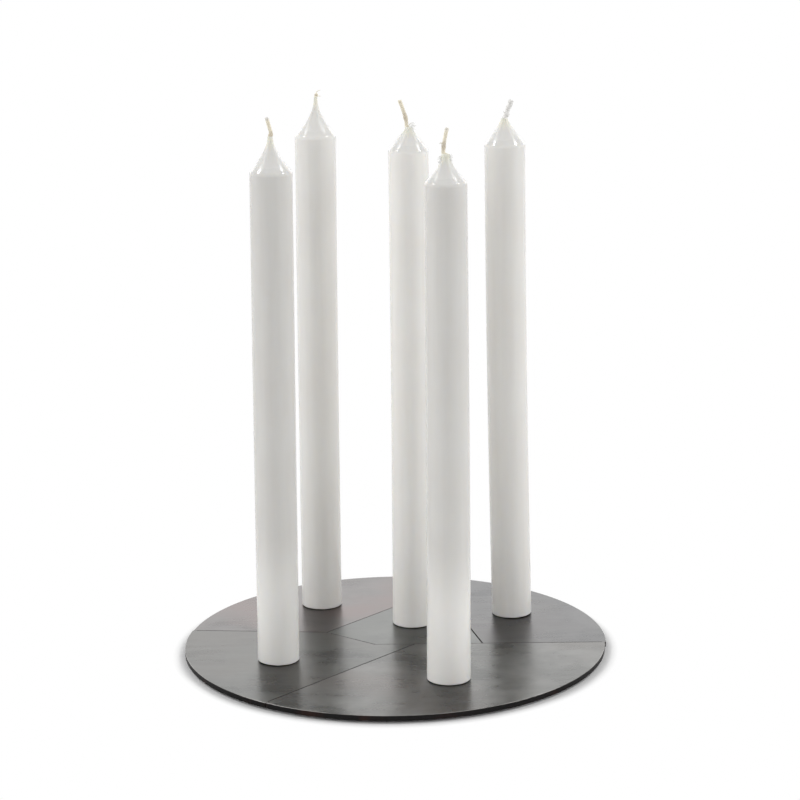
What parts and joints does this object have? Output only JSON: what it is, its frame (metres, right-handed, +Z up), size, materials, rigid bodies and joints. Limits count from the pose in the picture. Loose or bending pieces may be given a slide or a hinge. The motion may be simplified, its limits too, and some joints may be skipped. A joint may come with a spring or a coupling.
{
  "type": "candelabra",
  "caption": "Low table candelabra: a thin round steel disc cut into loose angular plates, each holding a tall dinner candle upright on a hidden pricket.",
  "frame": {"origin": "centre of the round disc on the table top that the feet stand on", "axes": "+Z up along the candles, +X to the right and +Y to the back of the disc as pictured"},
  "size_m": [0.2309, 0.2301, 0.3012],
  "materials": {
    "blackened_steel": "hot-rolled sheet, blackened and waxed, softly glossy with a mottled patina",
    "bright_steel": "plain turned steel",
    "rubber": "matt black rubber",
    "wax": "smooth white candle wax, slightly translucent, satin gloss",
    "wick": "braided cotton, waxed, matt"
  },
  "bodies": {
    "centre": {"centre_plate": "blackened_steel", "centre_pricket": "bright_steel", "centre_foot_1": "rubber", "centre_foot_2": "rubber", "centre_foot_3": "rubber", "centre_foot_4": "rubber"},
    "front_left": {"front_left_plate": "blackened_steel", "front_left_pricket": "bright_steel", "front_left_foot_1": "rubber", "front_left_foot_2": "rubber", "front_left_foot_3": "rubber", "front_left_foot_4": "rubber"},
    "back_left": {"back_left_plate": "blackened_steel", "back_left_pricket": "bright_steel", "back_left_foot_1": "rubber", "back_left_foot_2": "rubber", "back_left_foot_3": "rubber", "back_left_foot_4": "rubber"},
    "front_right": {"front_right_plate": "blackened_steel", "front_right_pricket": "bright_steel", "front_right_foot_1": "rubber", "front_right_foot_2": "rubber", "front_right_foot_3": "rubber", "front_right_foot_4": "rubber", "front_right_foot_5": "rubber"},
    "back_right": {"back_right_plate": "blackened_steel", "back_right_pricket": "bright_steel", "back_right_foot_1": "rubber", "back_right_foot_2": "rubber", "back_right_foot_3": "rubber", "back_right_foot_4": "rubber"},
    "centre_taper": {"centre_candle": "wax", "centre_wick": "wick"},
    "front_left_taper": {"front_left_candle": "wax", "front_left_wick": "wick"},
    "back_left_taper": {"back_left_candle": "wax", "back_left_wick": "wick"},
    "front_right_taper": {"front_right_candle": "wax", "front_right_wick": "wick"},
    "back_right_taper": {"back_right_candle": "wax", "back_right_wick": "wick"}
  },
  "joints": [
    {"name": "front_left_slide", "type": "slide", "parent": "centre", "child": "front_left", "axis": [-0.8988, -0.4384, 0], "range_m": [0, 0.06]},
    {"name": "back_left_slide", "type": "slide", "parent": "centre", "child": "back_left", "axis": [-0.3746, 0.9272, 0], "range_m": [0, 0.06]},
    {"name": "front_right_slide", "type": "slide", "parent": "centre", "child": "front_right", "axis": [0.4226, -0.9063, 0], "range_m": [0, 0.06]},
    {"name": "back_right_slide", "type": "slide", "parent": "centre", "child": "back_right", "axis": [0.9135, 0.4067, 0], "range_m": [0, 0.06]},
    {"name": "centre_lift", "type": "slide", "parent": "centre", "child": "centre_taper", "axis": [0, 0, 1], "range_m": [0, 0.03]},
    {"name": "front_left_lift", "type": "slide", "parent": "front_left", "child": "front_left_taper", "axis": [0, 0, 1], "range_m": [0, 0.03]},
    {"name": "back_left_lift", "type": "slide", "parent": "back_left", "child": "back_left_taper", "axis": [0, 0, 1], "range_m": [0, 0.03]},
    {"name": "front_right_lift", "type": "slide", "parent": "front_right", "child": "front_right_taper", "axis": [0, 0, 1], "range_m": [0, 0.03]},
    {"name": "back_right_lift", "type": "slide", "parent": "back_right", "child": "back_right_taper", "axis": [0, 0, 1], "range_m": [0, 0.03]}
  ]
}
